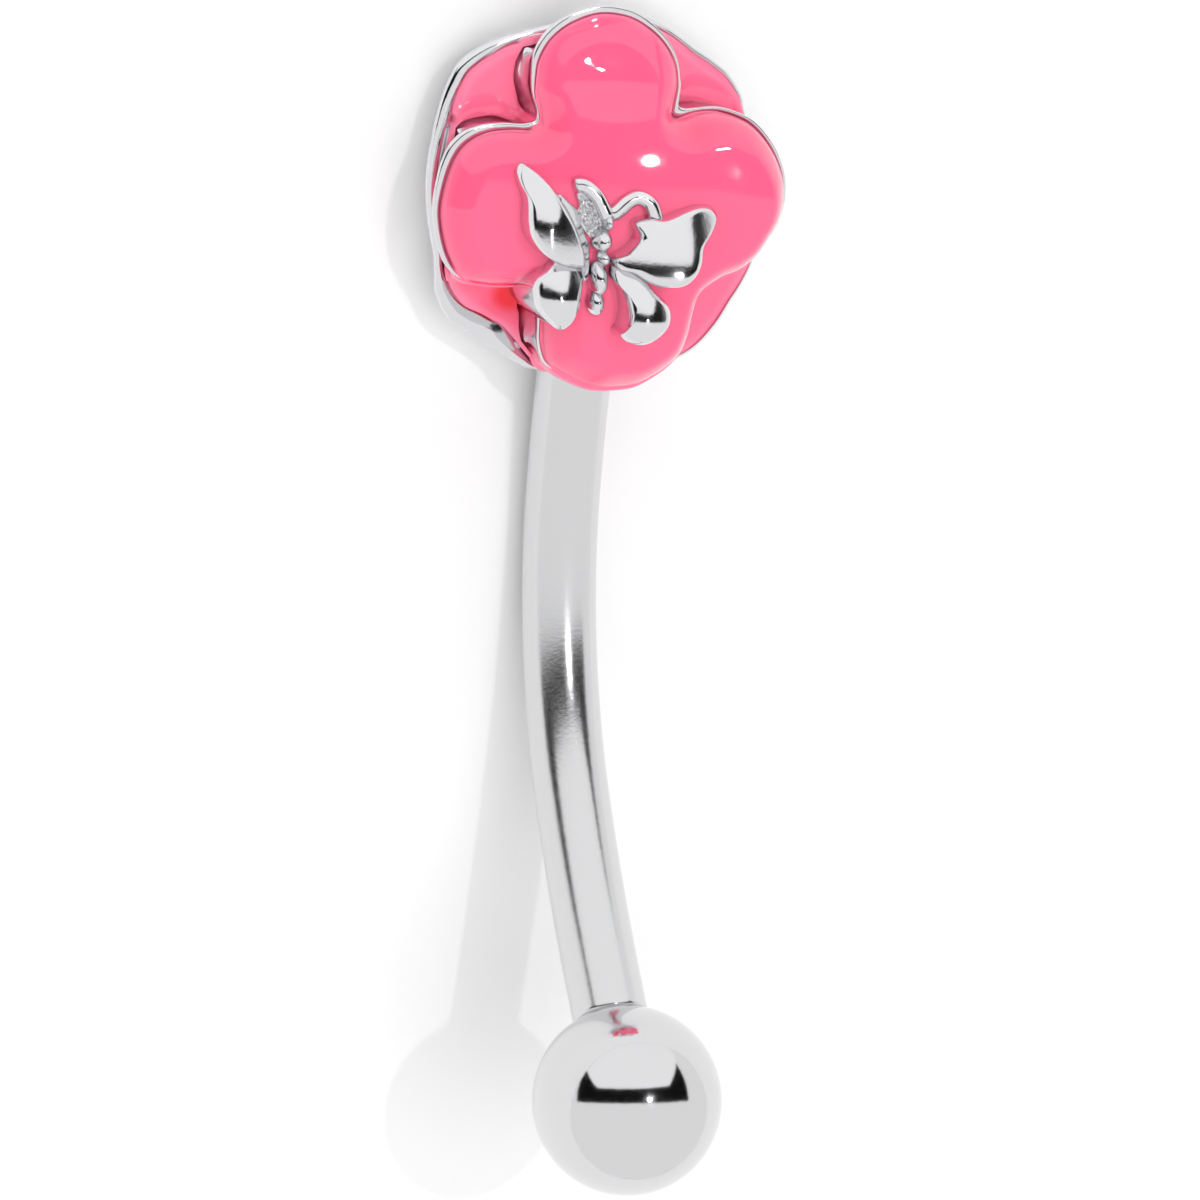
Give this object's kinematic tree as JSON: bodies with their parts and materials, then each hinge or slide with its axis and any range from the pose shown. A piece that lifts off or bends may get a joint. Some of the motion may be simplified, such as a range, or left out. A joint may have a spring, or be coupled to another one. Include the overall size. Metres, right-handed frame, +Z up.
{
  "type": "curved eyebrow barbell",
  "caption": "Bent barbell for a body piercing, with a screw-on ball at one end and a flat-backed enamelled flower carrying a raised butterfly at the other.",
  "frame": {"origin": "middle of the bounding box in plan, on the surface that the piece lies on", "axes": "+Z up; the bar runs along Y, with the flower towards +Y and the ball towards -Y"},
  "size_m": [0.006, 0.0182, 0.0067],
  "materials": {
    "curved_bar": "polished",
    "ball": "mirror polished",
    "flower": "bright plated casting",
    "enamel": "glossy translucent"
  },
  "bodies": {
    "barbell": {"curved_bar": "curved_bar", "flower": "flower", "enamel_front": "enamel", "enamel_upper_right": "enamel", "enamel_upper_left": "enamel", "enamel_lower_left": "enamel", "enamel_lower_right": "enamel"},
    "ball": {"ball": "ball"}
  },
  "joints": [
    {"name": "ball_unscrew", "type": "slide", "parent": "barbell", "child": "ball", "axis": [0, -0.7501, 0.6613], "range_m": [0, 0.0025]}
  ]
}
